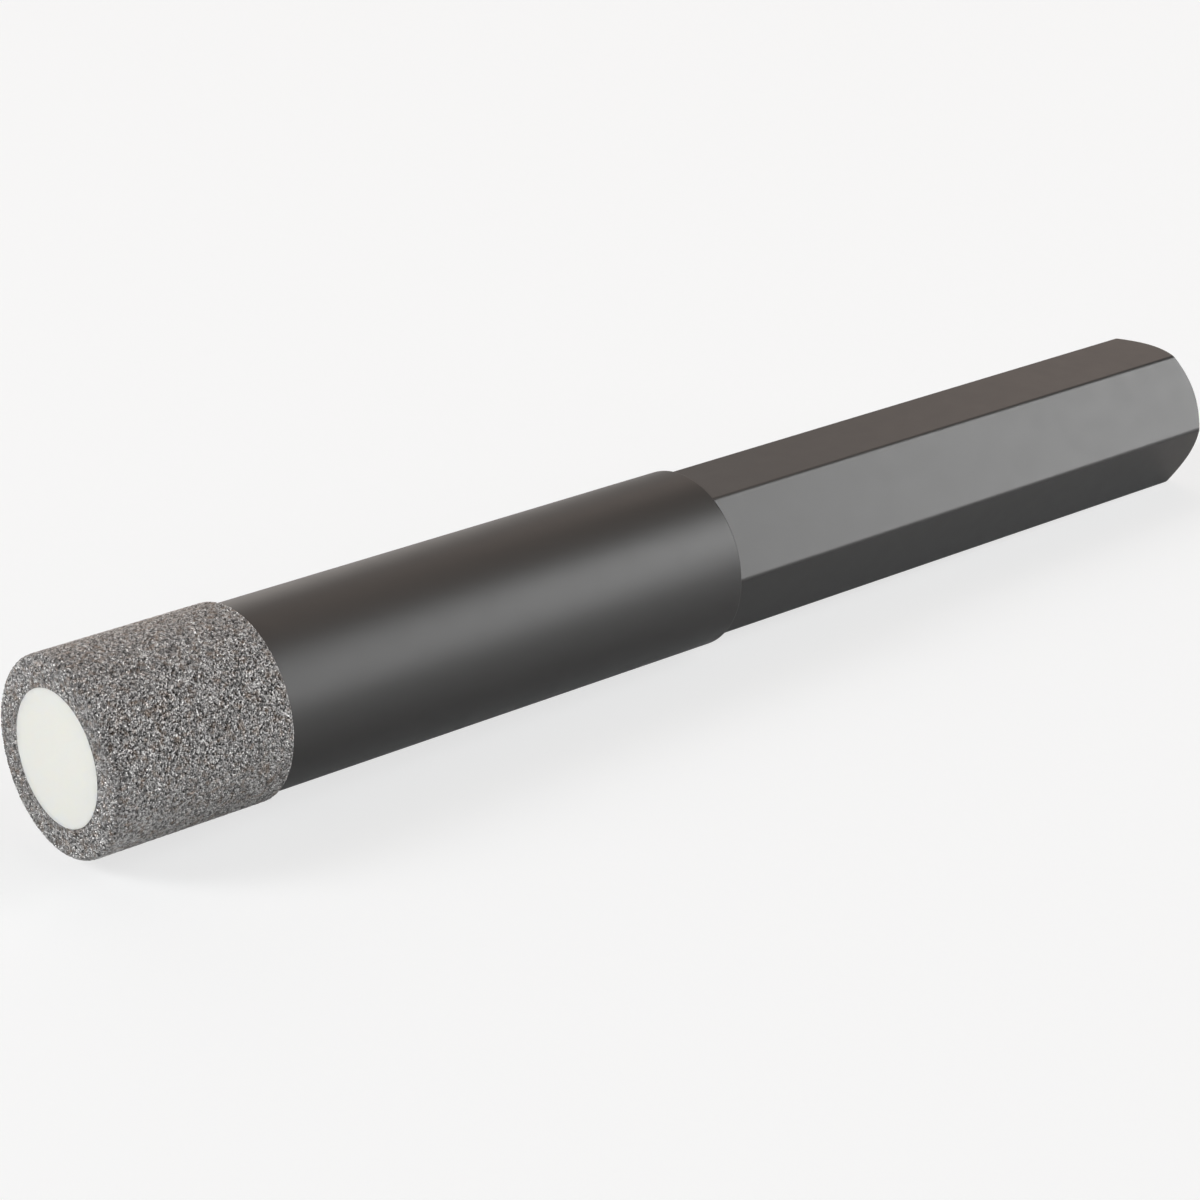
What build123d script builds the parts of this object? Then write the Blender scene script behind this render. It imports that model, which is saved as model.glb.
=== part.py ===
from build123d import *
import os
from math import cos, radians

# Diamond hole saw for dry drilling in tile and stone, with a hexagonal shank.
# The tool lies along +X. The origin is the centre of the shank's end face, which goes
# into the drill's chuck, and the cutting face is at the far end. +Z is square to one
# flat of the hexagon, so the tool lies on the flat opposite. All sizes are in mm.

# Shank, a hexagonal bar that the chuck grips
shank_across_flats = 11.0
shank_length = 52.3
shank_edge_radius = 0.4
shank_end_chamfer = 1.0

# Spigot, turned on the front of the shank to carry the tube
spigot_length = 12.0
spigot_lead_chamfer = 0.5
braze_clearance = 0.05

# Tube
tube_diameter = 13.3
tube_wall = 1.5
tube_length = 54.0
tube_rear_radius = 0.2

# Diamond crown, a layer of grit on the front of the tube
grit_outside = 0.35
grit_inside = 0.38
grit_on_face = 0.4
crown_length = 14.0
crown_depth_inside = 6.0
crown_front_radius = 0.48
crown_rear_radius = 0.3

# Radii about the tool's axis
tube_radius = tube_diameter / 2
bore_radius = tube_radius - tube_wall
spigot_radius = bore_radius - braze_clearance
spigot_lead_radius = spigot_radius - spigot_lead_chamfer
crown_radius = tube_radius + grit_outside
mouth_radius = bore_radius - grit_inside
shank_corner = shank_across_flats / 2 / cos(radians(30))
shank_end_radius = shank_corner - shank_end_chamfer

# Places along the axis, from the shank's end face
tube_rear = shank_length
spigot_front = tube_rear + spigot_length
spigot_lead = spigot_front - spigot_lead_chamfer
tube_front = tube_rear + tube_length
cutting_face = tube_front + grit_on_face
crown_rear = cutting_face - crown_length
crown_inside = cutting_face - crown_depth_inside

# Shank: drawn hexagonal bar, its end chamfered on a lathe, with the spigot in front
with BuildPart() as hex_shank:
    with BuildSketch(Plane.YZ) as bar_section:
        RegularPolygon(shank_across_flats / 2, 6, major_radius=False)
        fillet(bar_section.vertices(), shank_edge_radius)
    extrude(amount=shank_length)
    with BuildSketch(Plane.XY):
        with BuildLine():
            Polyline(
                (0, shank_end_radius),
                (0, shank_corner),
                (shank_end_chamfer, shank_corner),
                close=True,
            )
        make_face()
    revolve(axis=Axis.X, mode=Mode.SUBTRACT)
    with BuildSketch(Plane.YZ.offset(tube_rear)):
        Circle(spigot_radius)
    extrude(amount=spigot_length)
    chamfer(hex_shank.faces().sort_by(Axis.X)[-1].edges(), spigot_lead_chamfer)
hex_shank.part.label = "hex_shank"

# Tube: plain round steel tube, seated on the shoulder of the shank
with BuildPart() as core_tube:
    with BuildSketch(Plane.YZ.offset(tube_rear)):
        Circle(tube_radius)
        Circle(bore_radius, mode=Mode.SUBTRACT)
    extrude(amount=tube_length)
    fillet(core_tube.faces().sort_by(Axis.X)[0].outer_wire().edges(), tube_rear_radius)
core_tube.part.label = "core_tube"

# Crown: the layer lies on the outside of the tube, over its end and inside its mouth
with BuildPart() as diamond_crown:
    with BuildSketch(Plane.XY):
        with BuildLine():
            Polyline(
                (crown_rear, tube_radius),
                (crown_rear, crown_radius),
                (cutting_face, crown_radius),
                (cutting_face, mouth_radius),
                (crown_inside, mouth_radius),
                (crown_inside, bore_radius),
                (tube_front, bore_radius),
                (tube_front, tube_radius),
                close=True,
            )
        make_face()
    revolve(axis=Axis.X)
    crown_ends = diamond_crown.faces().filter_by(Axis.X).sort_by(Axis.X)
    fillet(crown_ends[-1].outer_wire().edges(), crown_front_radius)
    fillet(crown_ends[0].outer_wire().edges(), min(crown_rear_radius, 0.9 * grit_outside))
diamond_crown.part.label = "diamond_crown"

# Wax: poured into the tube, from the front of the spigot to the cutting face
with BuildPart() as wax_core:
    with BuildSketch(Plane.XY):
        with BuildLine():
            Polyline(
                (spigot_front, 0),
                (spigot_front, spigot_lead_radius),
                (spigot_lead, spigot_radius),
                (spigot_lead, bore_radius),
                (crown_inside, bore_radius),
                (crown_inside, mouth_radius),
                (cutting_face, mouth_radius),
                (cutting_face, 0),
                close=True,
            )
        make_face()
    revolve(axis=Axis.X)
wax_core.part.label = "wax_core"

os.makedirs("parts", exist_ok=True)
export_step(hex_shank.part, "parts/hex_shank.step")
export_step(core_tube.part, "parts/core_tube.step")
export_step(diamond_crown.part, "parts/diamond_crown.step")
export_step(wax_core.part, "parts/wax_core.step")
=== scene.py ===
"""Diamond hole saw: black steel tube and shank, a crown of brazed diamond grit, a core of wax.

Laid out as a Blender add-on and run as a script. Each piece is a surface worked out on a
grid, in the place that the frame gives, in metres.
"""

import math

import bpy
import numpy as np
from bpy.props import FloatProperty, FloatVectorProperty, IntProperty, PointerProperty
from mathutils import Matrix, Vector


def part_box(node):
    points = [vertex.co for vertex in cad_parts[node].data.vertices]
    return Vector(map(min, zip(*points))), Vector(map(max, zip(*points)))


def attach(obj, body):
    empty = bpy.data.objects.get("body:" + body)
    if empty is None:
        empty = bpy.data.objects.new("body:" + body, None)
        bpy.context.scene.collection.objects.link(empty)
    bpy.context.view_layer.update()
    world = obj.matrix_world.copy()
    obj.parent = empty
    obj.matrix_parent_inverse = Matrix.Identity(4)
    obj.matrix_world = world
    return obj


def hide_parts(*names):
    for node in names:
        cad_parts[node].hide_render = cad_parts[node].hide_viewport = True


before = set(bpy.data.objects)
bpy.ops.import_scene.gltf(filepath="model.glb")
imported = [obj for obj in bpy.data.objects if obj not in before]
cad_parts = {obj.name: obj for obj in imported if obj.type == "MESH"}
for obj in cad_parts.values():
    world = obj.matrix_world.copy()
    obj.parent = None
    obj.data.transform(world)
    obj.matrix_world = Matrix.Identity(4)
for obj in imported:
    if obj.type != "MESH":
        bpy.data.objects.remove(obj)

bl_info = {
    "name": "Diamond Hole Saw",
    "version": (1, 0, 0),
    "blender": (4, 5, 0),
    "location": "3D View > Sidebar > Hole Saw",
    "description": "Builds a dry-cutting diamond hole saw with its finishes, light and camera",
    "category": "Add Mesh",
}

MM = 0.001
FULL_TURN = 2 * math.pi
CLOSE = 0.02 * MM  # from a sharp edge to the next row of points, so that flat faces shade flat

# Places and radii that the frame gives
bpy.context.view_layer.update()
_, SHANK_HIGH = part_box("hex_shank")
TUBE_LOW, TUBE_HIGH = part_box("core_tube")
CROWN_LOW, CROWN_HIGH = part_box("diamond_crown")
WAX_LOW, WAX_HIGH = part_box("wax_core")
SHANK_HALF = SHANK_HIGH.z
SHANK_CORNER = SHANK_HALF / math.cos(math.radians(30))
TUBE_RADIUS = TUBE_HIGH.z
CROWN_RADIUS = CROWN_HIGH.z
BORE_RADIUS = WAX_HIGH.z
TUBE_REAR = TUBE_LOW.x
TUBE_FRONT = TUBE_HIGH.x
FACE = CROWN_HIGH.x

# The crown's bands, from the cutting face backwards: as one piece it would be too large a mesh
CROWN_BANDS = ("grit_tip", "grit_middle", "grit_rear")

# What is drawn at random for each diamond
SIDES = 5
SEAT_SHIFT = 0.28  # how far its seat moves, as a share of the spacing
SIDE_TURN = 0.3  # how far each side turns, as a share of the angle between two sides
SIDE_SLOPES = (1.0, 2.6)
SIDE_WIDTHS = (0.22, 0.45)  # from the seat to each side's upper edge, as shares of the spacing
TONES = (0.1, 1)  # from the braze's colour to the lightest diamond's

# The braze's unevenness: the width of its waves and their share of the height
BRAZE_WAVES = ((0.3 * MM, 0.7), (0.9 * MM, 0.5))
GRIT_FADE = 0.15 * MM  # over this distance the relief begins at the mouth and ends at the tube
RIPPLE_FADE = 0.5 * MM  # over this distance the wax's ripple ends before the crown
WAX_CENTRE = 0.06 * MM  # radius of the innermost ring of the wax's face
WAX_SEED = 3

STEEL = "black oxide steel, oiled"

# The camera at the photograph's angle: its place in metres, its heading from +X towards +Y
# and its pitch above the horizon in degrees, its lens and sensor in millimetres
CAMERA_PLACE = (0.2146953, 0.1782636, 0.0942509)
CAMERA_HEADING = -130.905
CAMERA_PITCH = -22.0444
CAMERA_LENS = 104.929
CAMERA_SENSOR = 36
CAMERA_NEAR = 0.01  # nothing nearer than this, in metres, is drawn

# The stage, in metres
TOOL_MIDDLE = (0.06, 0, 0)
FLOOR_REACH = 0.6
LAMP_DISTANCE = 0.9
LAMP_MIDDLE = 3.0  # strength in a lamp's middle, which makes up for the fall to its rim

# The softboxes: name, azimuth, elevation, half width and half height in degrees as seen from
# the tool, share of the power, and the settings that hold the power and the tint
SOFTBOXES = (
    ("key softbox, camera side", 118, 11, 12, 40, 1, "key_power", "key_tint"),
    ("key softbox, shank side", 147, 21.5, 14, 36, 2, "key_power", "key_tint"),
    ("top softbox", 199, 66, 40, 14.5, 1, "top_power", "top_tint"),
    ("back softbox, narrow", 217, 27, 12, 40, 0.22, "back_power", "top_tint"),
    ("back softbox", 252, 18, 28, 40, 1, "back_power", "back_tint"),
    ("front softbox", 335, 30, 18, 18, 1, "front_power", "front_tint"),
)


# Settings


def linear(code):
    """A colour written as sRGB hex, such as #808080, as linear red, green, blue and alpha 1."""
    parts = [int(code[i : i + 2], 16) / 255 for i in (1, 3, 5)]
    values = [p / 12.92 if p <= 0.04045 else ((p + 0.055) / 1.055) ** 2.4 for p in parts]
    return (*values, 1.0)


def colour(name, description, code):
    """A colour property whose default is written as sRGB hex."""
    return FloatVectorProperty(
        name=name,
        description=description,
        subtype="COLOR",
        size=4,
        min=0,
        max=1,
        default=linear(code),
    )


def length(name, description, millimetres):
    """A length property whose default is written in millimetres."""
    return FloatProperty(
        name=name,
        description=description,
        default=millimetres * MM,
        min=0,
        precision=5,
        unit="LENGTH",
    )


def watts(name, description, value):
    """A lamp's power."""
    return FloatProperty(name=name, description=description, default=value, min=0, unit="POWER")


def share(name, description, value):
    """A number from 0 to 1."""
    return FloatProperty(
        name=name, description=description, default=value, min=0, max=1, subtype="FACTOR"
    )


def count(name, description, value):
    """A number of faces round a piece."""
    return IntProperty(name=name, description=description, default=value, min=24, max=720)


class ShankSettings(bpy.types.PropertyGroup):
    corner_radius: length("Corner Radius", "Rounding of the bar's six long edges", 0.4)
    chamfer: length("End Chamfer", "Width of the turned chamfer, from the sharp corners", 1.0)
    edge_break: length("Edge Break", "Softening of the turned edges", 0.05)
    spigot_gap: length("Spigot Gap", "Space for braze between the spigot and the bore", 0.05)
    spigot_lead: length("Spigot Lead", "Chamfer at the spigot's front", 0.5)


class TubeSettings(bpy.types.PropertyGroup):
    rim_radius: length("Rim Radius", "Rounding of the tube's rear rim", 0.2)
    columns: count("Columns", "Faces round the tube", 192)


class CrownSettings(bpy.types.PropertyGroup):
    inside: length("Coat Inside", "Thickness of the grit inside the bore", 0.38)
    inside_depth: length("Depth Inside", "How far the grit runs down the bore", 6.0)
    front_radius: length("Front Radius", "Rounding of the cutting edge", 0.48)
    rear_radius: length("Rear Radius", "Rounding where the coat ends on the tube", 0.3)
    # The real diamonds' size isn't known: this spacing gives grain as wide as the object's.
    grain: length("Grain Spacing", "Distance between neighbouring diamonds", 0.14)
    proud: length("Braze Level", "How far the braze lies below the tips of the diamonds", 0.12)
    uneven: length("Unevenness", "How much lower than the tallest the lowest diamonds end", 0.05)
    wave: length("Braze Wave", "Height of the braze's own unevenness", 0.02)
    tilt: share("Top Tilt", "Slope of the diamonds' top faces", 0.3)
    mesh_step: length("Mesh Step", "Width of one face of the grit's surface", 0.051)
    seed: IntProperty(name="Seed", description="Start of the random draws", default=7, min=0)


class WaxSettings(bpy.types.PropertyGroup):
    ripple: length("Ripple", "Height of the poured wax's unevenness", 0.008)
    ripple_width: length("Ripple Width", "Width of one ripple", 2.2)
    rim_radius: length("Rim Radius", "Rounding of the wax where it meets the crown", 0.04)
    columns: count("Columns", "Faces round the wax", 160)


class FinishSettings(bpy.types.PropertyGroup):
    coat: colour("Coat", "Black coat on the steel", "#161514")
    coat_light: colour("Coat, Lighter", "The coat where it is thinner", "#1A1918")
    coat_roughness: share("Coat Roughness", "Gloss of the coat: lower is shinier", 0.45)
    # The braze's colour is darker than bare nickel: partly the braze itself, partly painted shade
    # in the hollows between the diamonds.
    braze: colour("Braze", "Nickel braze between the diamonds", "#2A2928")
    diamond_light: colour("Diamond", "The lightest diamonds", "#CDCCCB")
    diamond_warm: colour("Diamond, Warm", "Diamonds with a brown tint", "#8C7A6A")
    wax: colour("Wax", "Cooling wax", "#F8F9F1")
    wax_dull: colour("Wax, Duller", "The wax where it is a little duller", "#F6F7EE")


class StageSettings(bpy.types.PropertyGroup):
    floor: colour("Floor", "Paper under the tool", "#F5F7F8")
    key_power: watts("Key", "Power of the softboxes beside the tube", 2.9)
    back_power: watts("Back", "Power of the softbox behind the tool", 2.7)
    top_power: watts("Top", "Power of the softbox above the tool", 1.14)
    front_power: watts("Front", "Power of the softbox in front of the cutting face", 6.2)
    key_tint: colour("Key Tint", "Colour of the key light", "#FFFFFF")
    top_tint: colour("Top Tint", "Colour of the light from above", "#FFEADD")
    back_tint: colour("Back Tint", "Colour of the light from behind", "#FFF6EF")
    front_tint: colour("Front Tint", "Colour of the front light", "#FFFFFF")
    room: colour("Room", "Light from the room all round", "#171615")
    backdrop: colour("Backdrop", "What the camera sees beyond the floor", "#FFFFFF")
    whiteness: share("Paper Whiteness", "How far the paper looks like the backdrop", 0.7)
    mirrored: share("White in Reflections", "How much of that white the metal shows", 0.1)


class HoleSawSettings(bpy.types.PropertyGroup):
    shank: PointerProperty(type=ShankSettings)
    tube: PointerProperty(type=TubeSettings)
    crown: PointerProperty(type=CrownSettings)
    wax: PointerProperty(type=WaxSettings)
    finish: PointerProperty(type=FinishSettings)
    stage: PointerProperty(type=StageSettings)


def settings_of(group):
    """One group of the scene's settings."""
    return getattr(bpy.context.scene.hole_saw, group)


def spigot_radius():
    """Radius of the shank's spigot, which leaves the braze its gap in the bore."""
    return BORE_RADIUS - settings_of("shank").spigot_gap


def mouth_radius():
    """Radius of the crown's mouth, which the wax fills."""
    return BORE_RADIUS - settings_of("crown").inside


# Shapes


def arc(centre, radius, from_degrees, to_degrees, steps):
    """Points on a circle: centre + radius (cos a, sin a), for a in even steps."""
    a = np.radians(np.linspace(from_degrees, to_degrees, steps))
    return np.stack([centre[0] + radius * np.cos(a), centre[1] + radius * np.sin(a)], -1)


def line(start, end, steps):
    """Points between two points at even steps, with the start and without the end."""
    t = np.linspace(0, 1, steps, endpoint=False)[:, None]
    return np.asarray(start, float) * (1 - t) + np.asarray(end, float) * t


def turned(profile, columns):
    """A profile of (x, r) points carried round the X axis.

    Each point becomes a ring (x, r cos a, r sin a), with a over a full turn.
    """
    a = np.arange(columns) * FULL_TURN / columns
    x = np.repeat(profile[:, 0, None], columns, 1)
    return np.stack([x, profile[:, 1, None] * np.cos(a), profile[:, 1, None] * np.sin(a)], -1)


def grid_object(name, grid, closed_ring=False, flip=False, smooth=True):
    """A mesh from a grid of points, row by row, whose columns close into rings.

    With closed_ring the last row joins the first. Without it the first and last rows are
    closed by fans to their mean points. flip turns the faces over. Without smooth every
    face shades flat.
    """
    rows, columns = grid.shape[:2]
    strips = rows if closed_ring else rows - 1
    i, j = (v.ravel() for v in np.meshgrid(np.arange(strips), np.arange(columns), indexing="ij"))
    below, beside = (i + 1) % rows, (j + 1) % columns
    quads = np.stack(
        [i * columns + j, i * columns + beside, below * columns + beside, below * columns + j], -1
    )
    points = grid.reshape(-1, 3)
    fans = np.zeros((0, 3), int)
    if not closed_ring:
        first, last = rows * columns, rows * columns + 1
        points = np.concatenate([points, grid[:1].mean(1), grid[-1:].mean(1)])
        ring = np.arange(columns)
        following = (ring + 1) % columns
        front = np.stack([following, ring, np.full(columns, first)], -1)
        start = (rows - 1) * columns
        back = np.stack([start + ring, start + following, np.full(columns, last)], -1)
        fans = np.concatenate([front, back])
    if flip:
        quads, fans = quads[:, ::-1], fans[:, ::-1]
    mesh = bpy.data.meshes.new(name)
    mesh.from_pydata(points.tolist(), [], quads.tolist() + fans.tolist())
    if smooth:
        mesh.shade_smooth()
    made = bpy.data.objects.new(name, mesh)
    bpy.context.scene.collection.objects.link(made)
    return made


def seat(piece, node, material):
    """Puts a finished piece in the place of a CAD node, on its body, with its finish."""
    piece.data.materials.append(material)
    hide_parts(node)
    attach(piece, "root")


def hexagon_outline(half, radius, arc_steps=12, flat_steps=24):
    """The bar's section as (y, z) points.

    Each corner is an arc of the given radius about the point (half - radius) / cos 30 out
    along the corner's direction, over 60 degrees. Each flat is the straight line between two
    arcs, with points close to its ends so that the flat shades flat.
    """
    corner = np.radians(np.arange(6) * 60)[:, None]
    t = corner + np.radians(np.linspace(-30, 30, arc_steps))
    reach = (half - radius) / math.cos(math.radians(30))
    y = reach * np.cos(corner) + radius * np.cos(t)
    z = reach * np.sin(corner) + radius * np.sin(t)
    arcs = np.stack([y, z], -1)
    ends, starts = arcs[:, -1:], np.roll(arcs[:, :1], -1, 0)
    u = np.concatenate([[0.01], np.linspace(0.03, 0.97, flat_steps - 2), [0.99]])
    u = u[None, :, None]
    flats = ends * (1 - u) + starts * u
    return np.concatenate([arcs, flats], 1).reshape(-1, 2)


def shank_grid(settings):
    """The shank as rows of points from the centre of its end face to the spigot's front.

    Every row is the hexagon's outline drawn in towards the axis to a radius of its own.
    Along each column the chamfer climbs at 45 degrees from the end face's edge, at radius
    end, until it meets the outline at radius rho, which is at x = rho - end. So the
    chamfer's edge on each flat is the curve that a lathe tool leaves. Its two edges are
    rounded by a parabola, (1-t)^2 start + 2t(1-t) corner + t^2 finish.
    """
    outline = hexagon_outline(SHANK_HALF, settings.corner_radius)
    rho = np.linalg.norm(outline, axis=1)
    way = outline / rho[:, None]
    end = SHANK_CORNER - settings.chamfer
    spigot = spigot_radius()
    soft = settings.edge_break
    t = np.linspace(0, 1, 5)[:, None]
    zero = np.zeros_like(rho)
    # Rings across the end face, as shares of its radius, the last one just inside its edge
    rows = [(zero, zero + end * s) for s in (0.3, 0.7, 0.95, 1 - 2 * soft / end)]

    def rounded(start, corner, finish):
        for k in t:
            a, b, c = (1 - k) ** 2, 2 * k * (1 - k), k**2
            rows.append(tuple(a * p + b * q + c * r for p, q, r in zip(start, corner, finish)))

    slant = soft / math.sqrt(2)
    rounded((zero, zero + end - soft), (zero, zero + end), (zero + slant, zero + end + slant))
    foot = rho - end
    rounded((foot - slant, rho - slant), (foot, rho), (foot + soft, rho))
    for x in np.linspace(foot.max() + 2 * soft, TUBE_REAR - CLOSE, 24):
        rows.append((zero + x, rho))
    rows.append((zero + TUBE_REAR, rho))
    lead = settings.spigot_lead
    for x, r in (
        (TUBE_REAR, spigot),
        (TUBE_REAR + soft, spigot),
        (SHANK_HIGH.x - lead, spigot),
        (SHANK_HIGH.x, spigot - lead),
    ):
        rows.append((zero + x, zero + r))
    x, r = (np.stack(v) for v in zip(*rows))
    return np.stack([x, r * way[:, 0], r * way[:, 1]], -1)


def tube_profile(settings):
    """The tube's wall as a closed loop of (x, r) points.

    It runs up the rear face, over the rounded rim, an arc of 90 degrees, along the outside,
    down the front face and back through the bore.
    """
    rim = settings.rim_radius
    foot = (TUBE_REAR, TUBE_RADIUS - rim - CLOSE)
    rear = line((TUBE_REAR, BORE_RADIUS), foot, 6)
    rounding = arc((TUBE_REAR + rim, TUBE_RADIUS - rim), rim, 180, 90, 9)
    edge = (TUBE_FRONT - CLOSE, TUBE_RADIUS)
    outside = line((TUBE_REAR + rim + CLOSE, TUBE_RADIUS), edge, 24)
    front = [edge, (TUBE_FRONT, TUBE_RADIUS), (TUBE_FRONT, BORE_RADIUS)]
    bore = [(TUBE_REAR + CLOSE, BORE_RADIUS)]
    return np.concatenate([rear, [foot], rounding, outside, front, bore])


def crown_outline(settings):
    """The grit's visible outline as (x, r) points, from the mouth over the face to the tube.

    A straight face, an arc of 90 degrees at the cutting edge, the straight outside, and an
    arc of 90 degrees down to the tube. The numbers of points only have to follow the
    curves: the mesh's own rows are laid along the outline afterwards.
    """
    front, rear = settings.front_radius, settings.rear_radius
    face = line((FACE, mouth_radius()), (FACE, CROWN_RADIUS - front), 40)
    edge = arc((FACE - front, CROWN_RADIUS - front), front, 0, 90, 24)
    outside = line((FACE - front, CROWN_RADIUS), (CROWN_LOW.x + rear, CROWN_RADIUS), 200)[1:]
    shoulder = arc((CROWN_LOW.x + rear, CROWN_RADIUS - rear), rear, 90, 180, 16)
    foot = [(CROWN_LOW.x, TUBE_RADIUS)]
    return np.concatenate([face, edge, outside, shoulder, foot])


def along_outline(outline, distance):
    """Points and outward normals at distances along an outline of (x, r) points, and its length.

    The normal is the outline's direction between a point just ahead and one just behind,
    turned by 90 degrees.
    """
    step = np.linalg.norm(np.diff(outline, axis=0), axis=1)
    run = np.concatenate([[0], np.cumsum(step)])
    distance = np.clip(distance, 0, run[-1])
    point, ahead, behind = (
        np.stack([np.interp(distance + d, run, outline[:, k]) for k in (0, 1)], -1)
        for d in (0, CLOSE, -CLOSE)
    )
    way = ahead - behind
    way /= np.linalg.norm(way, axis=1, keepdims=True)
    return point, np.stack([way[:, 1], -way[:, 0]], -1), run[-1]


def smooth_noise(points, size, seed):
    """Value noise: random numbers on a cubic lattice, blended between its corners.

    The blend is s = 3f^2 - 2f^3 of the place f in the cell, along each axis in turn. The
    random numbers come from the corner's whole-number place, multiplied by large primes and
    mixed bit by bit.
    """
    cell = np.floor(points / size).astype(np.int64)
    f = points / size - cell
    s = f * f * (3 - 2 * f)
    total = np.zeros(points.shape[:-1])
    for corner in np.ndindex(2, 2, 2):
        key = cell + np.array(corner)
        mixed = key @ np.array([73856093, 19349663, 83492791]) + seed * 2654435761
        mixed = (mixed ^ (mixed >> 13)) * 1274126177
        mixed = (mixed ^ (mixed >> 16)) & 0xFFFFFF
        weight = np.prod(np.where(np.array(corner) == 1, s, 1 - s), -1)
        total += weight * mixed / 0xFFFFFF
    return 2 * total - 1


def grit_relief(settings, outline, distance, angle):
    """Heights of the grit on the crown, all below its outline, and the diamonds' tones.

    The diamonds' seats lie on rings one row apart along the outline, each moved at random. A
    diamond is a pyramid with its tip cut off: the lowest of a tilted top plane, top + tilt . d,
    and five side planes, top + slope (width - d . way), where d is the offset from its seat.
    The surface is the highest diamond, or the wavy braze where that is higher. The tone is
    the diamond's own, times the square of the height over the braze as a share of the full
    height; that fall towards the braze is painted shade in the hollows between the diamonds.
    """
    rng = np.random.default_rng(settings.seed)
    point, _, total = along_outline(outline, distance)
    row_step = settings.grain * math.sqrt(3) / 2
    rings = int(total / row_step) + 1
    middle = (np.arange(rings) + 0.5) * row_step
    round_ring = FULL_TURN * along_outline(outline, middle)[0][:, 1]
    in_ring = np.round(round_ring / settings.grain).astype(int)
    first = np.cumsum(in_ring) - in_ring
    seats = in_ring.sum()
    phase = rng.uniform(0, 1, rings)
    moved = rng.uniform(-SEAT_SHIFT, SEAT_SHIFT, (2, seats)) * settings.grain
    top = -rng.uniform(0, 1, seats) * settings.uneven
    tilt = rng.normal(0, settings.tilt, (2, seats))
    start = rng.uniform(0, FULL_TURN, seats)
    turn_on = np.arange(SIDES)[:, None] + rng.uniform(-SIDE_TURN, SIDE_TURN, (SIDES, seats))
    way = start + turn_on * FULL_TURN / SIDES
    slope = rng.uniform(*SIDE_SLOPES, (SIDES, seats))
    width = rng.uniform(*SIDE_WIDTHS, (SIDES, seats)) * settings.grain
    tone = rng.uniform(*TONES, seats)

    radius = point[:, 1, None]
    s, a = distance[:, None], angle[None, :]
    place = turned(point, len(angle))
    wave = sum(
        part * smooth_noise(place, size, settings.seed + k)
        for k, (size, part) in enumerate(BRAZE_WAVES)
    )
    best = -settings.proud + settings.wave * wave
    shade = np.zeros_like(best)
    for above in (-1, 0, 1):
        ring = np.clip(np.floor(distance / row_step).astype(int) + above, 0, rings - 1)[:, None]
        turn = a / FULL_TURN * in_ring[ring] - phase[ring]
        nearest = np.floor(turn + 0.5)
        for beside in (-1, 0, 1):
            number = nearest + beside
            one = first[ring] + number.astype(int) % in_ring[ring]
            u = s - middle[ring] - moved[0][one]
            v = (turn - number) / in_ring[ring] * FULL_TURN * radius - moved[1][one]
            height = top[one] + tilt[0][one] * u + tilt[1][one] * v
            for k in range(SIDES):
                across = u * np.cos(way[k][one]) + v * np.sin(way[k][one])
                side = top[one] + slope[k][one] * (width[k][one] - across)
                height = np.minimum(height, side)
            higher = height > best
            best = np.where(higher, height, best)
            shade = np.where(higher, tone[one], shade)
    # The tone falls with the square of the height share: painted shade in the hollows between the
    # diamonds, darkest at the braze.
    lift = np.clip((best + settings.proud) / (settings.proud - settings.uneven), 0, 1)
    return np.minimum(best, 0), shade * lift**2


def crown_bands(settings):
    """The crown as bands along the tube, each a closed ring of rows, with the tone at each point.

    Each visible point moves along the outline's normal by the height of the grit there. The
    movement fades to nothing over the last tenths of a millimetre at both ends. Neighbouring
    bands share the row where they meet, and their hidden rows lie on the tube.
    """
    outline = crown_outline(settings)
    total = along_outline(outline, np.zeros(1))[2]
    rows = int(total / settings.mesh_step)
    columns = int(FULL_TURN * CROWN_RADIUS / settings.mesh_step)
    distance = np.linspace(0, total, rows)
    angle = np.arange(columns) * FULL_TURN / columns
    point, normal, _ = along_outline(outline, distance)
    # tone is each diamond's own tone with painted shade in the hollows
    height, tone = grit_relief(settings, outline, distance, angle)
    fade = np.clip(np.minimum(distance, total - distance) / GRIT_FADE, 0, 1)
    height = height * fade[:, None]
    grid = turned(point, columns) + turned(normal, columns) * height[..., None]
    inner = FACE - settings.inside_depth
    bore = [
        (TUBE_FRONT, TUBE_RADIUS),
        (TUBE_FRONT, BORE_RADIUS),
        (inner, BORE_RADIUS),
        (inner, mouth_radius()),
    ]
    cuts = np.linspace(0, rows - 1, len(CROWN_BANDS) + 1).round().astype(int)
    bands = []
    for first, last in zip(cuts, cuts[1:]):
        hidden = [(point[last, 0], TUBE_RADIUS)] if last < rows - 1 else []
        hidden += [(point[first, 0], TUBE_RADIUS)] if first else bore
        unseen = turned(np.array(hidden), columns)
        part = slice(first, last + 1)
        band = np.concatenate([grid[part], unseen])
        bands.append((band, np.concatenate([tone[part], np.zeros(unseen.shape[:2])])))
    return bands


def wax_profile(settings):
    """The wax as (x, r) points: its face from the middle, its rim and back down the bore.

    The face is straight, the rim an arc of 90 degrees, and the rest follows the crown's
    inside, the bore and the spigot's front.
    """
    mouth, spigot = mouth_radius(), spigot_radius()
    rim = settings.rim_radius
    lead = settings_of("shank").spigot_lead
    step = FACE - settings_of("crown").inside_depth
    face = line((FACE, WAX_CENTRE), (FACE, mouth - rim), 44)
    rounding = arc((FACE - rim, mouth - rim), rim, 0, 90, 6)
    body = [
        (step, mouth),
        (step, BORE_RADIUS),
        (WAX_LOW.x, BORE_RADIUS),
        (WAX_LOW.x, spigot),
        (WAX_LOW.x + lead, spigot - lead),
    ]
    return np.concatenate([face, rounding, body])


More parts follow.
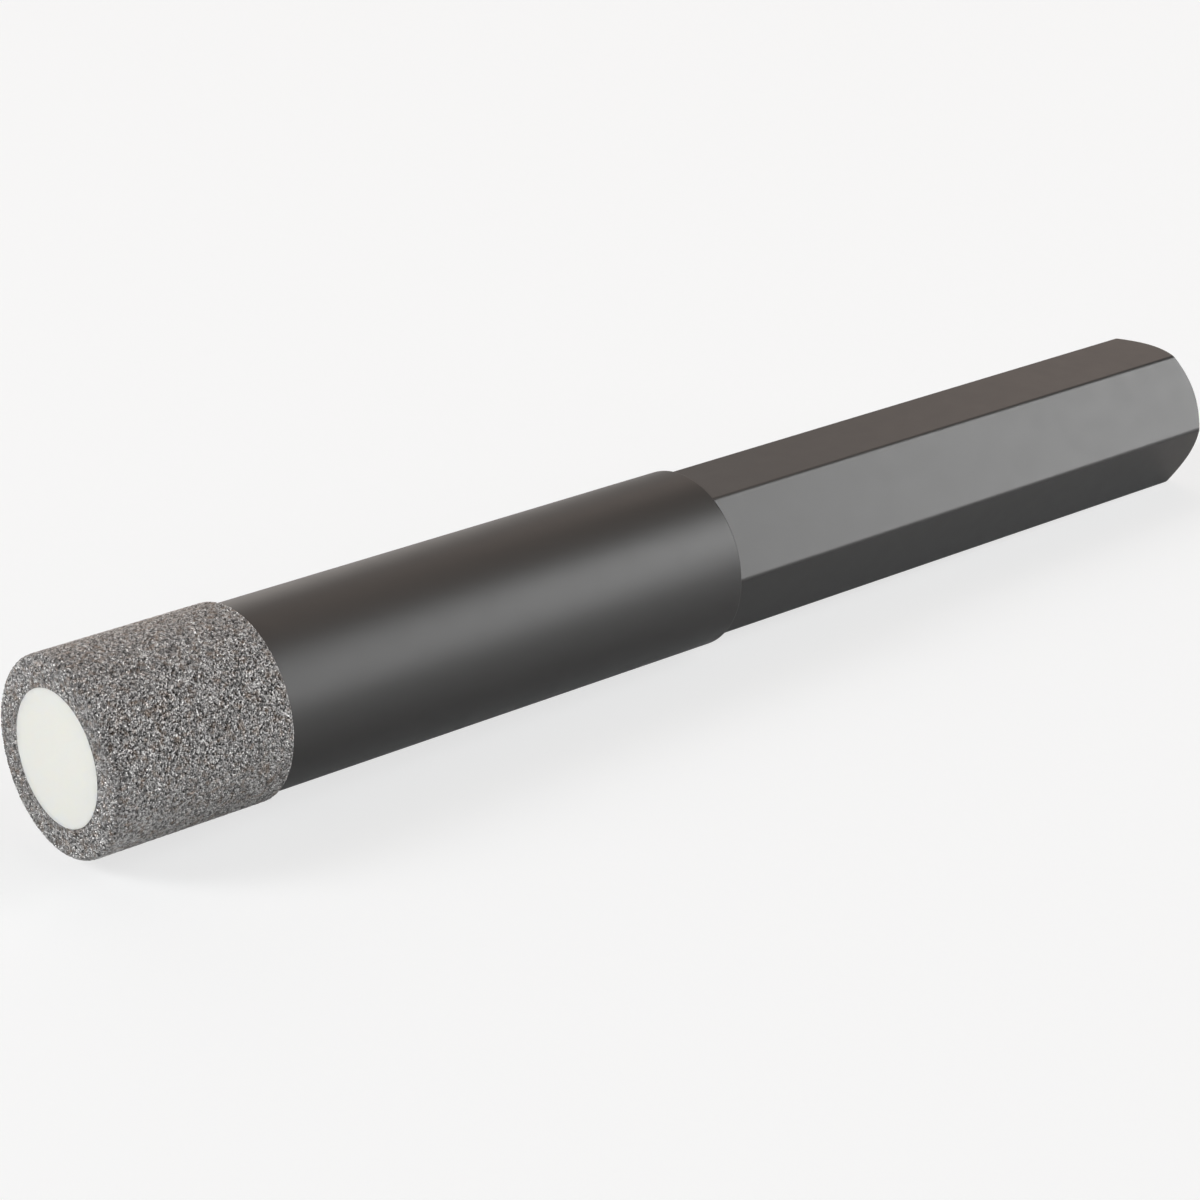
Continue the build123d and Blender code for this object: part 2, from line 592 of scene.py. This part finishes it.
def wax_grid(settings):
    """The wax's profile carried round the axis, with ripples on its face.

    A point of the face sinks by ripple (1 - noise) / 2, which fades to nothing at the rim.
    """
    grid = turned(wax_profile(settings), settings.columns)
    radius = np.hypot(grid[..., 1], grid[..., 2])
    inside = np.clip((mouth_radius() - radius) / RIPPLE_FADE, 0, 1)
    on_face = grid[..., 0] > FACE - 0.5 * settings.rim_radius
    wave = smooth_noise(grid, settings.ripple_width, WAX_SEED) - 1
    grid[..., 0] += settings.ripple * 0.5 * wave * inside * on_face
    return grid


def floor_points():
    """The corners of a square plane that the tool rests on.

    The tool touches it where its end chamfer ends on the lowest flat and where the tube's
    rear rim begins, so the plane falls from the first to the second:
    z = -half - slope (x - x0).
    """
    chamfer_end = SHANK_HALF - (SHANK_CORNER - settings_of("shank").chamfer)
    rim_start = TUBE_REAR + settings_of("tube").rim_radius
    slope = (TUBE_RADIUS - SHANK_HALF) / (rim_start - chamfer_end)
    signs = ((-1, -1), (1, -1), (1, 1), (-1, 1))
    corners = [(TOOL_MIDDLE[0] + i * FLOOR_REACH, j * FLOOR_REACH) for i, j in signs]
    return [(x, y, -SHANK_HALF - slope * (x - chamfer_end)) for x, y in corners]


# Materials


def add_node(tree, kind, inputs=None, **settings):
    """Adds a node with its own properties, and its sockets' values or what is linked to them."""
    made = tree.nodes.new(kind)
    for key, value in settings.items():
        setattr(made, key, value)
    for key, value in (inputs or {}).items():
        if isinstance(value, bpy.types.NodeSocket):
            tree.links.new(value, made.inputs[key])
        else:
            made.inputs[key].default_value = value
    return made


def new_material(name):
    """An empty node material, its tree, its place coordinates in metres and its output node."""
    material = bpy.data.materials.new(name)
    material.use_nodes = True
    tree = material.node_tree
    tree.nodes.clear()
    place = add_node(tree, "ShaderNodeTexCoord").outputs["Object"]
    return material, tree, place, add_node(tree, "ShaderNodeOutputMaterial")


def repeats(millimetres):
    """The scale of a texture whose features are that wide, for coordinates in metres."""
    return 1 / (millimetres * MM)


def black_oxide_steel(finish):
    """Steel bar and tube with a black oxide finish, from a hot bath and sealed with oil.

    The skin of magnetite in oil reflects more than a resin would, and is satin: nearly
    black, with a faint unevenness that softens every reflection.
    """
    material, tree, place, output = new_material(STEEL)
    thin = add_node(
        tree, "ShaderNodeTexNoise", {"Vector": place, "Scale": repeats(6), "Detail": 3}
    )
    tint = add_node(
        tree,
        "ShaderNodeMix",
        {"Factor": thin.outputs["Fac"], "A": finish.coat, "B": finish.coat_light},
        data_type="RGBA",
    )
    patch = add_node(
        tree, "ShaderNodeTexNoise", {"Vector": place, "Scale": repeats(1.5), "Detail": 4}
    )
    rough = add_node(
        tree,
        "ShaderNodeMapRange",
        {
            "Value": patch.outputs["Fac"],
            "To Min": finish.coat_roughness - 0.03,
            "To Max": finish.coat_roughness + 0.03,
        },
    )
    # The bath's etch is finer than this, and is drawn as coarse as it needs to show.
    etch = add_node(
        tree, "ShaderNodeTexNoise", {"Vector": place, "Scale": repeats(0.18), "Detail": 2}
    )
    bump = add_node(
        tree,
        "ShaderNodeBump",
        {"Height": etch.outputs["Fac"], "Strength": 0.15, "Distance": 0.004 * MM},
    )
    shader = add_node(
        tree,
        "ShaderNodeBsdfPrincipled",
        {
            "Base Color": tint.outputs["Result"],
            "Roughness": rough.outputs["Result"],
            "Normal": bump.outputs["Normal"],
            "IOR": 1.7,
        },
    )
    tree.links.new(shader.outputs["BSDF"], output.inputs["Surface"])
    return material


def steel_coat():
    """The coated steel, made once for the two pieces that have it."""
    return bpy.data.materials.get(STEEL) or black_oxide_steel(settings_of("finish"))


def diamond_grit(finish):
    """Blocky synthetic diamonds set in nickel braze in a vacuum furnace.

    The braze wets every diamond, so all of it looks like rough grey metal, with a shade of its
    own on each diamond and a few of them brownish. The dark in the hollows is painted shade:
    the braze's colour is kept darker than bare nickel, and the tone falls towards it.
    """
    material, tree, place, output = new_material("diamond grit in nickel braze")
    tone = add_node(tree, "ShaderNodeAttribute", attribute_name="tone")
    # The tone mixes from the braze's colour to the lightest diamond; its fall to the dark braze
    # is painted shade in the hollows.
    grey = add_node(
        tree,
        "ShaderNodeMix",
        {"Factor": tone.outputs["Fac"], "A": finish.braze, "B": finish.diamond_light},
        data_type="RGBA",
    )
    warm = add_node(
        tree, "ShaderNodeTexNoise", {"Vector": place, "Scale": repeats(0.5), "Detail": 2}
    )
    brown = add_node(
        tree,
        "ShaderNodeMapRange",
        {"Value": warm.outputs["Fac"], "From Min": 0.5, "From Max": 0.75, "To Max": 0.6},
    )
    tint = add_node(
        tree,
        "ShaderNodeMix",
        {
            "Factor": brown.outputs["Result"],
            "A": grey.outputs["Result"],
            "B": finish.diamond_warm,
        },
        data_type="RGBA",
    )
    # Chips on the diamonds are finer than this, and are drawn as coarse as they need to show.
    chips = add_node(tree, "ShaderNodeTexVoronoi", {"Vector": place, "Scale": repeats(0.11)})
    bump = add_node(
        tree,
        "ShaderNodeBump",
        {"Height": chips.outputs["Distance"], "Strength": 0.6, "Distance": 0.04 * MM},
        invert=True,
    )
    shader = add_node(
        tree,
        "ShaderNodeBsdfPrincipled",
        {
            "Base Color": tint.outputs["Result"],
            "Metallic": 0.8,
            "Roughness": 0.35,
            "Normal": bump.outputs["Normal"],
        },
    )
    tree.links.new(shader.outputs["BSDF"], output.inputs["Surface"])
    return material


def paraffin_wax(finish):
    """Paraffin wax poured hot and left to set.

    It is off-white and dull, a little clouded, and lit from a little way inside.
    """
    material, tree, place, output = new_material("paraffin wax, poured")
    cloud = add_node(
        tree, "ShaderNodeTexNoise", {"Vector": place, "Scale": repeats(2.5), "Detail": 3}
    )
    tint = add_node(
        tree,
        "ShaderNodeMix",
        {"Factor": cloud.outputs["Fac"], "A": finish.wax_dull, "B": finish.wax},
        data_type="RGBA",
    )
    # Wax crystals are finer than this, and are drawn as coarse as they need to show.
    grain = add_node(
        tree, "ShaderNodeTexNoise", {"Vector": place, "Scale": repeats(0.25), "Detail": 3}
    )
    bump = add_node(
        tree,
        "ShaderNodeBump",
        {"Height": grain.outputs["Fac"], "Strength": 0.2, "Distance": 0.01 * MM},
    )
    shader = add_node(
        tree,
        "ShaderNodeBsdfPrincipled",
        {
            "Base Color": tint.outputs["Result"],
            "Roughness": 0.5,
            "IOR": 1.43,
            "Subsurface Weight": 0.5,
            "Subsurface Radius": (1.0, 0.9, 0.7),
            "Subsurface Scale": 1.0 * MM,
            "Normal": bump.outputs["Normal"],
        },
    )
    tree.links.new(shader.outputs["BSDF"], output.inputs["Surface"])
    return material


def seen_share(tree, mirrored):
    """How much a ray sees of the white surround.

    The camera's rays see all of it. Reflections and what passes through glass see the share
    mirrored, because in the full white the black steel would lose its dark sides.
    """
    path = add_node(tree, "ShaderNodeLightPath").outputs
    either = add_node(
        tree,
        "ShaderNodeMath",
        {0: path["Is Glossy Ray"], 1: path["Is Transmission Ray"]},
        operation="MAXIMUM",
    )
    dimmed = add_node(
        tree, "ShaderNodeMath", {0: either.outputs["Value"], 1: mirrored}, operation="MULTIPLY"
    )
    seen = add_node(
        tree,
        "ShaderNodeMath",
        {0: path["Is Camera Ray"], 1: dimmed.outputs["Value"]},
        operation="MAXIMUM",
    )
    return seen.outputs["Value"]


def white_paper(stage):
    """Matt white paper: an even pale ground without gloss, which keeps the tool's shadow.

    By the share whiteness it is mixed with the backdrop's pure white, so that plain light
    is enough for a ground that looks white.
    """
    material, tree, _, output = new_material("matt white paper")
    paper = add_node(tree, "ShaderNodeBsdfDiffuse", {"Color": stage.floor})
    white = add_node(tree, "ShaderNodeEmission", {"Color": stage.backdrop, "Strength": 1})
    weight = add_node(
        tree,
        "ShaderNodeMath",
        {0: seen_share(tree, stage.mirrored), 1: stage.whiteness},
        operation="MULTIPLY",
    )
    shader = add_node(
        tree,
        "ShaderNodeMixShader",
        {0: weight.outputs["Value"], 1: paper.outputs["BSDF"], 2: white.outputs["Emission"]},
    )
    tree.links.new(shader.outputs["Shader"], output.inputs["Surface"])
    return material


# Stage


def studio_room(stage):
    """A dim room whose walls look white to the camera."""
    room = bpy.data.worlds.new("studio room")
    room.use_nodes = True
    tree = room.node_tree
    tree.nodes.clear()
    shade = add_node(
        tree,
        "ShaderNodeMix",
        {"Factor": seen_share(tree, stage.mirrored), "A": stage.room, "B": stage.backdrop},
        data_type="RGBA",
    )
    walls = add_node(tree, "ShaderNodeBackground", {"Color": shade.outputs["Result"]})
    output = add_node(tree, "ShaderNodeOutputWorld")
    tree.links.new(walls.outputs["Background"], output.inputs["Surface"])
    return room


def softbox(name, azimuth, elevation, half_width, half_height, power, tint):
    """An oval softbox that points at the middle of the tool, brightest in its middle.

    It stands at LAMP_DISTANCE along (cos e cos a, cos e sin a, sin e). Its half width and
    half height are angles, as seen from the tool. Its strength falls from the middle to the
    rim as LAMP_MIDDLE (1 - 3t^2 + 2t^3), where t is the share of its radius.
    """
    light = bpy.data.lights.new(name, "AREA")
    light.shape = "ELLIPSE"
    light.size = 2 * LAMP_DISTANCE * math.tan(math.radians(half_width))
    light.size_y = 2 * LAMP_DISTANCE * math.tan(math.radians(half_height))
    light.energy = power
    light.color = tint[:3]
    light.use_nodes = True
    tree = light.node_tree
    tree.nodes.clear()
    place = add_node(tree, "ShaderNodeNewGeometry")
    away = add_node(
        tree,
        "ShaderNodeVectorMath",
        {0: place.outputs["Parametric"], 1: (0.5, 0.5, 0)},
        operation="DISTANCE",
    )
    strength = add_node(
        tree,
        "ShaderNodeMapRange",
        {"Value": away.outputs["Value"], "From Max": 0.5, "To Min": LAMP_MIDDLE, "To Max": 0.0},
        interpolation_type="SMOOTHSTEP",
    )
    glow = add_node(tree, "ShaderNodeEmission", {"Strength": strength.outputs["Result"]})
    add_node(tree, "ShaderNodeOutputLight", {"Surface": glow.outputs["Emission"]})
    lamp = bpy.data.objects.new(name, light)
    a, e = math.radians(azimuth), math.radians(elevation)
    way = Vector((math.cos(e) * math.cos(a), math.cos(e) * math.sin(a), math.sin(e)))
    lamp.location = Vector(TOOL_MIDDLE) + LAMP_DISTANCE * way
    lamp.rotation_euler = way.to_track_quat("Z", "Y").to_euler()
    bpy.context.scene.collection.objects.link(lamp)


def viewing_camera():
    """The camera at the photograph's viewing angle."""
    camera = bpy.data.cameras.new("camera")
    camera.lens = CAMERA_LENS
    camera.sensor_width = CAMERA_SENSOR
    camera.clip_start = CAMERA_NEAR
    viewer = bpy.data.objects.new("camera", camera)
    viewer.location = CAMERA_PLACE
    viewer.rotation_euler = (
        math.radians(90 + CAMERA_PITCH),
        0,
        math.radians(CAMERA_HEADING - 90),
    )
    bpy.context.scene.collection.objects.link(viewer)
    return viewer


# Operators


class HOLESAW_OT_stage(bpy.types.Operator):
    """Paper floor, soft lights, room and camera"""

    bl_idname = "hole_saw.stage"
    bl_label = "Add Stage"

    def execute(self, context):
        scene = context.scene
        stage = scene.hole_saw.stage
        mesh = bpy.data.meshes.new("paper_floor")
        mesh.from_pydata(floor_points(), [], [(0, 1, 2, 3)])
        mesh.materials.append(white_paper(stage))
        floor = bpy.data.objects.new("paper_floor", mesh)
        scene.collection.objects.link(floor)
        scene.camera = viewing_camera()
        for name, azimuth, elevation, half_width, half_height, part, power, tint in SOFTBOXES:
            softbox(
                name,
                azimuth,
                elevation,
                half_width,
                half_height,
                part * getattr(stage, power),
                getattr(stage, tint),
            )
        scene.world = studio_room(stage)
        scene.view_settings.view_transform = "Standard"
        return {"FINISHED"}


class HOLESAW_OT_shank(bpy.types.Operator):
    """Hexagonal bar with its turned end and the spigot inside the tube"""

    bl_idname = "hole_saw.shank"
    bl_label = "Add Shank"

    def execute(self, context):
        piece = grid_object("shank_bar", shank_grid(context.scene.hole_saw.shank), flip=True)
        seat(piece, "hex_shank", steel_coat())
        return {"FINISHED"}


class HOLESAW_OT_tube(bpy.types.Operator):
    """Round steel tube with its rounded rear rim"""

    bl_idname = "hole_saw.tube"
    bl_label = "Add Tube"

    def execute(self, context):
        settings = context.scene.hole_saw.tube
        grid = turned(tube_profile(settings), settings.columns)
        piece = grid_object("tube_wall", grid, closed_ring=True, flip=True)
        seat(piece, "core_tube", steel_coat())
        return {"FINISHED"}


class HOLESAW_OT_crown(bpy.types.Operator):
    """Layer of diamond grit in braze that wraps the tube's front"""

    bl_idname = "hole_saw.crown"
    bl_label = "Add Crown"

    def execute(self, context):
        settings = context.scene.hole_saw
        grit = diamond_grit(settings.finish)
        for name, (grid, tone) in zip(CROWN_BANDS, crown_bands(settings.crown)):
            piece = grid_object(name, grid, closed_ring=True, smooth=False)
            tones = piece.data.attributes.new("tone", "FLOAT", "POINT")
            tones.data.foreach_set("value", tone.ravel())
            seat(piece, "diamond_crown", grit)
        return {"FINISHED"}


class HOLESAW_OT_wax(bpy.types.Operator):
    """Cooling wax that fills the tube up to the cutting face"""

    bl_idname = "hole_saw.wax"
    bl_label = "Add Wax"

    def execute(self, context):
        settings = context.scene.hole_saw
        piece = grid_object("wax_fill", wax_grid(settings.wax))
        seat(piece, "wax_core", paraffin_wax(settings.finish))
        return {"FINISHED"}


class HOLESAW_PT_panel(bpy.types.Panel):
    """Lists the hole saw's pieces and sizes in the sidebar"""

    bl_label = "Diamond Hole Saw"
    bl_idname = "HOLESAW_PT_panel"
    bl_space_type = "VIEW_3D"
    bl_region_type = "UI"
    bl_category = "Hole Saw"

    def draw(self, context):
        settings = context.scene.hole_saw
        for group, operator in STEPS:
            box = self.layout.box()
            box.operator(operator)
            held = getattr(settings, group)
            for name in held.__annotations__:
                box.prop(held, name)
        box = self.layout.box()
        for name in settings.finish.__annotations__:
            box.prop(settings.finish, name)


STEPS = (
    ("stage", "hole_saw.stage"),
    ("shank", "hole_saw.shank"),
    ("tube", "hole_saw.tube"),
    ("crown", "hole_saw.crown"),
    ("wax", "hole_saw.wax"),
)

CLASSES = (
    ShankSettings,
    TubeSettings,
    CrownSettings,
    WaxSettings,
    FinishSettings,
    StageSettings,
    HoleSawSettings,
    HOLESAW_OT_stage,
    HOLESAW_OT_shank,
    HOLESAW_OT_tube,
    HOLESAW_OT_crown,
    HOLESAW_OT_wax,
    HOLESAW_PT_panel,
)


def register():
    for item in CLASSES:
        bpy.utils.register_class(item)
    bpy.types.Scene.hole_saw = PointerProperty(type=HoleSawSettings)


def unregister():
    del bpy.types.Scene.hole_saw
    for item in reversed(CLASSES):
        bpy.utils.unregister_class(item)


def main():
    """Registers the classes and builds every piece."""
    register()
    bpy.ops.hole_saw.stage()
    bpy.ops.hole_saw.shank()
    bpy.ops.hole_saw.tube()
    bpy.ops.hole_saw.crown()
    bpy.ops.hole_saw.wax()


if __name__ == "__main__":
    main()
